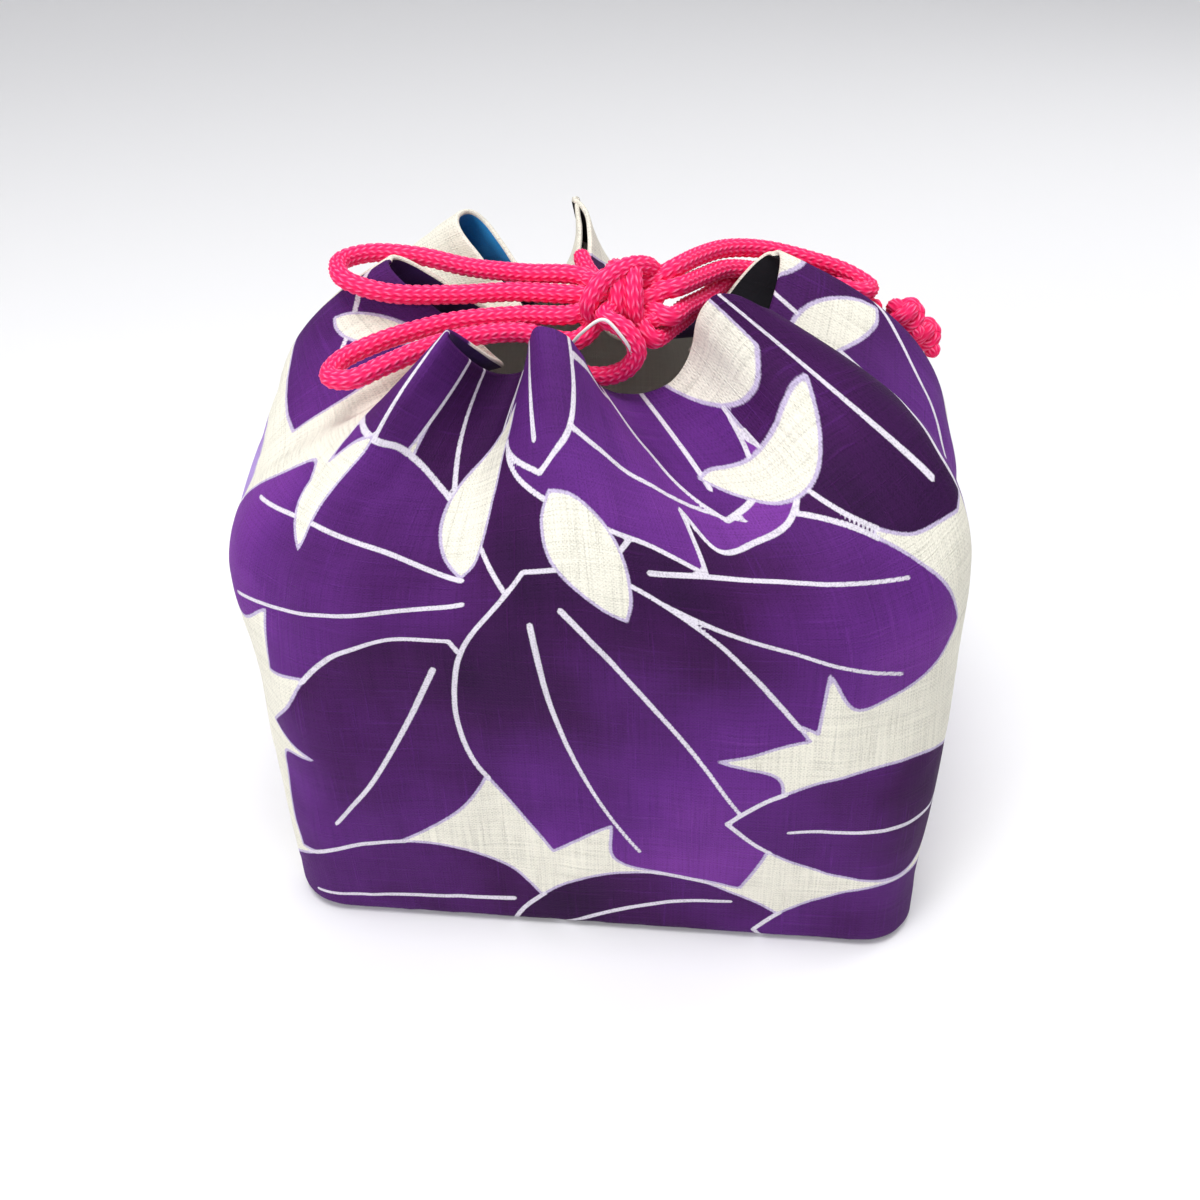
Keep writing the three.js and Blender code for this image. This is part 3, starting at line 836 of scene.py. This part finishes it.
def print_material():
    material, tree, shader = new_material("printed_cotton", 0.7, specular=0.12)
    threads, place = weave(tree)
    lumps = slubs(tree, place)
    cloudy = noise(tree, place, CLOUDS, detail=2.0)
    tone = math_node(tree, "SUBTRACT", attribute(tree, "tone"), 0.25)
    tone = math_node(tree, "MULTIPLY_ADD", cloudy, 0.5, tone)
    tone = math_node(tree, "MULTIPLY_ADD", lumps, 0.08, tone)
    dye = ramp(tree, tone, DYES)
    ragged = math_node(tree, "MULTIPLY_ADD", threads, 0.5, -0.25)
    ground = math_node(tree, "ADD", attribute(tree, "ground"), ragged)
    line = math_node(tree, "ADD", attribute(tree, "line"), ragged)
    color = mix(tree, step_down(tree, ground, -0.15, 0.15), CREAM, dye)
    rim = math_node(tree, "SUBTRACT", math_node(tree, "ABSOLUTE", ground), EDGE_THIN)
    color = mix(tree, step_down(tree, rim, -0.2, 0.2), color, RIM_LILAC)
    color = mix(tree, step_down(tree, line, -0.12, 0.15), color, LINE_WHITE)
    # Painted shade between the threads, mixed with the threads' own grain and slubs.
    thread_painted_shade = math_node(tree, "MULTIPLY_ADD", lumps, -0.03, threads)
    color = mix(tree, 0.8, color, ramp(tree, thread_painted_shade, PRINT_SHADE), "MULTIPLY")
    tree.links.new(color, shader.inputs["Base Color"])
    height = math_node(tree, "MULTIPLY_ADD", lumps, 0.22, threads)
    bump(tree, shader, height, 0.8, 0.0006)
    return material


def plain_material(name, color, others=()):
    """Woven cloth in one colour. others are attributes, and the colours that they lay over the first."""
    material, tree, shader = new_material(name, 0.85, sheen=0.1, specular=0.25)
    threads, place = weave(tree)
    for where, other in others:
        color = mix(tree, attribute(tree, where), color, other)
    # The threads paint shade between them, mixed with their own grain.
    color = mix(tree, 0.7, color, ramp(tree, threads, PLAIN_SHADE), "MULTIPLY")
    tree.links.new(color, shader.inputs["Base Color"])
    bump(tree, shader, math_node(tree, "MULTIPLY_ADD", slubs(tree, place), 0.25, threads), 0.5, 0.0004)
    return material


# ---------------------------------------------------------------- cloth pieces
PANEL_COLUMNS = 400
BASE_ROWS = 15
EDGE_ROWS = 8
WALL_ROWS = 210
FOLD_ROWS = 6
FOLDED_EDGE = 0.7  # radius of the rim, where the cloth folds in
FOLD_STEP = 0.37  # of flat cloth, from one row of the fold to the next
FACING_DEPTH = 1.4
FACING_ROWS = 16
FACING_START = 0.78  # share of the roof where the facing meets the lining
LINING_END = 0.8  # and where the lining ends, over the facing's lower edge
LINING_DEPTH = 1.7
LINING_COLUMNS = 200
LINING_BASE_ROWS = 19
LINING_WALL_ROWS = 90
SEAM_UNDER = BASE_EDGE - EDGE_LENGTH - BASE_REACH  # height on the flat cloth of the seam across the base
PANELS = {"front": (0.0, 0.5), "rear": (0.5, 1.0)}


def make_outer(side, draw, material):
    """A printed panel, from the seam across the base up to the rim, where it folds over."""
    start, end = PANELS[side]
    heights = [*np.linspace(SEAM_UNDER, BASE_EDGE - EDGE_LENGTH, BASE_ROWS, endpoint=False),
               *np.linspace(BASE_EDGE - EDGE_LENGTH, BASE_EDGE, EDGE_ROWS, endpoint=False),
               *np.linspace(BASE_EDGE, RIM_HEIGHT, WALL_ROWS)]
    points, normal, up, x, height = cloth_grid(start, end, PANEL_COLUMNS, heights, 0.0)
    rim, outward = points[-1], normal[-1]
    along = up[-1] / np.linalg.norm(up[-1], axis=-1)[:, None]
    for turn in np.linspace(0, math.pi, FOLD_ROWS + 1)[1:]:
        over = rim + FOLDED_EDGE * (along * math.sin(turn) - outward * (1 - math.cos(turn)))
        points = np.concatenate([points, over[None]])
        x = np.concatenate([x, x[:1]])
        height = np.concatenate([height, height[-1:] + FOLD_STEP])
    faces = grid_faces(*points.shape[:2])
    piece = make_piece(f"outer_{side}_cloth", points, faces, material, [f"outer_{side}_panel"],
                       np.stack([x, height], -1), draw(x, height))


def make_lining(side, material):
    start, end = PANELS[side]
    top = WALL_HEIGHT + LINING_END * ROOF_LENGTH
    heights = [*np.linspace(SEAM_UNDER, BASE_EDGE, LINING_BASE_ROWS, endpoint=False),
               *np.linspace(BASE_EDGE, top, LINING_WALL_ROWS)]
    points, _, _, x, height = cloth_grid(start, end, LINING_COLUMNS, heights, LINING_DEPTH)
    piece = make_piece(f"lining_{side}_cloth", points, grid_faces(*points.shape[:2])[:, ::-1], material,
                       [f"lining_{side}_panel"], np.stack([x, height], -1))


def make_facing(side, material, second, third):
    """The band folded in at the rim. second and third say how much of those colours is at a place."""
    start, end = PANELS[side]
    heights = np.linspace(WALL_HEIGHT + FACING_START * ROOF_LENGTH, RIM_HEIGHT, FACING_ROWS)
    points, _, _, x, height = cloth_grid(start, end, PANEL_COLUMNS, heights, FACING_DEPTH)
    values = {"second": second(x, height), "third": third(x, height)}
    piece = make_piece(f"facing_{side}_cloth", points, grid_faces(*points.shape[:2])[:, ::-1], material,
                       [f"facing_{side}"], np.stack([x, height], -1), values)


def band(x, start, end, soft=1.0):
    """1 from start to end and 0 elsewhere, with soft edges."""
    return smoothstep(start - soft, start + soft, x) * (1 - smoothstep(end - soft, end + soft, x))


STITCH = 2.6  # one white stitch, and the gap after it
STITCH_GAP = 1.3
STITCH_FIRST = 2  # from the end of the row
STITCH_POINTS = 5  # along each stitch
STITCH_LIFT = 0.2  # how far its middle stands off the cloth
STITCH_PROUD = 0.12  # how far in from the facing the thread's ends lie
ROW_POINTS = 1400  # along a row of stitches
THREAD_RADIUS = 0.22
THREAD_TAPER = 0.4  # share of its radius that a thread keeps at its ends
THREAD_LOOP_RADIUS = 0.45
THREAD_LOOP_STEP = 0.5


def thread_tube(line, radius=THREAD_RADIUS, sides=6):
    """Points and faces of a plain thread, with blank uv and relief so that join_tubes can take it."""
    first, second = side_directions(line)
    angle = np.arange(sides) * 2 * np.pi / sides
    ring = np.cos(angle)[None, :, None] * first[:, None] + np.sin(angle)[None, :, None] * second[:, None]
    size = np.full(len(line), radius)
    size[[0, -1]] *= THREAD_TAPER
    points = (line[:, None] + ring * size[:, None, None]).reshape(-1, 3)
    faces = grid_faces(len(line), sides, closed=True)[:, ::-1].tolist()
    faces += [list(range(sides)), list(range(len(points) - 1, len(points) - sides - 1, -1))]
    return points, faces, np.zeros((len(points), 2)), np.zeros(len(points))


def make_stitches(name, start, end, below_rim, material):
    """Running stitches in white thread on the facing, from x start to x end."""
    tubes = []
    lift = STITCH_LIFT * np.sin(np.linspace(0, np.pi, STITCH_POINTS))[:, None]
    for below in below_rim:
        heights, depth = [RIM_HEIGHT - below], FACING_DEPTH + STITCH_PROUD
        points, normal = cloth_grid(start / GIRTH, end / GIRTH, ROW_POINTS, heights, depth)[:2]
        line, inward = points[0], -normal[0]
        along = np.concatenate([[0], np.cumsum(np.linalg.norm(np.diff(line, axis=0), axis=1))])
        for first in np.arange(STITCH_FIRST, along[-1] - STITCH, STITCH + STITCH_GAP):
            places = np.linspace(first, first + STITCH, STITCH_POINTS)
            route = np.stack([np.interp(places, along, line[:, k]) for k in range(3)], -1)
            off = np.stack([np.interp(places, along, inward[:, k]) for k in range(3)], -1)
            tubes.append(thread_tube(route + off * lift))
    points, faces = join_tubes(tubes)[:2]
    make_piece(name, points, faces, material)


def make_thread_loop(material):
    """The thin loose thread that hangs in front of the bow knot."""
    route = [(-12, -19, 138), (-10, -22, 143), (-6, -24, 149), (-1, -24, 152.5), (3, -24, 149),
             (6, -22, 143), (5, -19, 138)]
    points, faces = thread_tube(smooth_line(route, THREAD_LOOP_STEP), THREAD_LOOP_RADIUS)[:2]
    make_piece("thread_loop", points, faces, material)


# ---------------------------------------------------------------- floor and light
FLOOR_RADIUS = 1500
FLOOR_CURVE = 700  # radius where the floor turns up
WALL_TOP = 1400
FLOOR_SIDES = 96


def make_floor():
    """A pale round floor that turns up into a pale wall far from the pouch."""
    profile = [(1.0, 0.0), (600.0, 0.0), (FLOOR_RADIUS, 0.0)]
    for turn in np.linspace(0.1, math.pi / 2, 16):
        profile.append((FLOOR_RADIUS + FLOOR_CURVE * math.sin(turn), FLOOR_CURVE * (1 - math.cos(turn))))
    profile.append((FLOOR_RADIUS + FLOOR_CURVE, WALL_TOP))
    turns = np.arange(FLOOR_SIDES) * 2 * math.pi / FLOOR_SIDES
    points = np.array([[(away * math.cos(a), away * math.sin(a), z) for a in turns] for away, z in profile])
    mesh = bpy.data.meshes.new("floor")
    faces = [list(face) for face in grid_faces(len(profile), len(turns), closed=True)]
    mesh.from_pydata((points.reshape(-1, 3) * MM).tolist(), [], faces + [list(range(len(turns)))])
    mesh.shade_smooth()
    material, _, shader = new_material("floor", 0.6, specular=0.2)
    shader.inputs["Base Color"].default_value = rgb("f1f1f3")
    mesh.materials.append(material)
    floor = bpy.data.objects.new("floor", mesh)
    bpy.context.scene.collection.objects.link(floor)


# Each lamp's place and width in metres, and its power in watts. All of them face the pouch.
LAMPS = {
    "overhead": ((-0.1, -0.25, 1.2), 0.6, 9),
    "front_left": ((-0.7, -0.9, 0.6), 0.5, 5),
    "rear_right": ((0.9, 0.6, 0.9), 0.6, 4),
}
LAMP_TARGET = (0, 0, 0.08)
WORLD_STRENGTH = 0.52


def make_light(name, place, size, watts):
    data = bpy.data.lights.new(name, "AREA")
    data.shape = "DISK"
    data.size = size
    data.energy = watts
    light = bpy.data.objects.new(name, data)
    away = Vector(place) - Vector(LAMP_TARGET)
    light.matrix_world = Matrix.Translation(place) @ away.to_track_quat("Z", "Y").to_matrix().to_4x4()
    bpy.context.scene.collection.objects.link(light)


def make_lights():
    world = bpy.data.worlds.new("studio")
    world.use_nodes = True
    background = world.node_tree.nodes["Background"]
    background.inputs["Color"].default_value = grey(1)
    background.inputs["Strength"].default_value = WORLD_STRENGTH
    bpy.context.scene.world = world
    bpy.context.scene.view_settings.view_transform = "Standard"
    for name, lamp in LAMPS.items():
        make_light(name, *lamp)


# ---------------------------------------------------------------- the whole pouch
make_camera()
pink = cord_material()
make_cords(pink)
make_bow_knot(pink)
make_end_knots(pink)

printed = print_material()
make_outer("front", front_print, printed)
make_outer("rear", rear_print, printed)
plain = plain_material("lining_cotton", rgb("f4f1ea"))
make_lining("front", plain)
make_lining("rear", plain)

purple, cream = rgb("3c1a5c"), rgb("e9e5da")
front_facing = plain_material("front_facing_cotton", purple, [("second", cream), ("third", rgb("141118"))])
make_facing("front", front_facing,
            second=lambda x, y: band(x, 92, 118) * band(y, 148, 158) + band(x, 0, 30),
            third=lambda x, y: band(x, 268, 320))
black, blue = rgb("15131a"), rgb("2b9fe2")
rear_facing = plain_material("rear_facing_cotton", purple, [("second", black), ("third", blue)])
make_facing("rear", rear_facing,
            second=lambda x, y: band(x, 300, 345) + band(x, 445, 502),
            third=lambda x, y: band(x, 512, 566))
thread = plain_material("white_thread", rgb("f3f0ee"))
make_stitches("stitches_front", 60, 262, (1.6, 15.0), thread)
make_stitches("stitches_rear", 345, 612, (15.0,), thread)

make_thread_loop(thread)

make_floor()
make_lights()
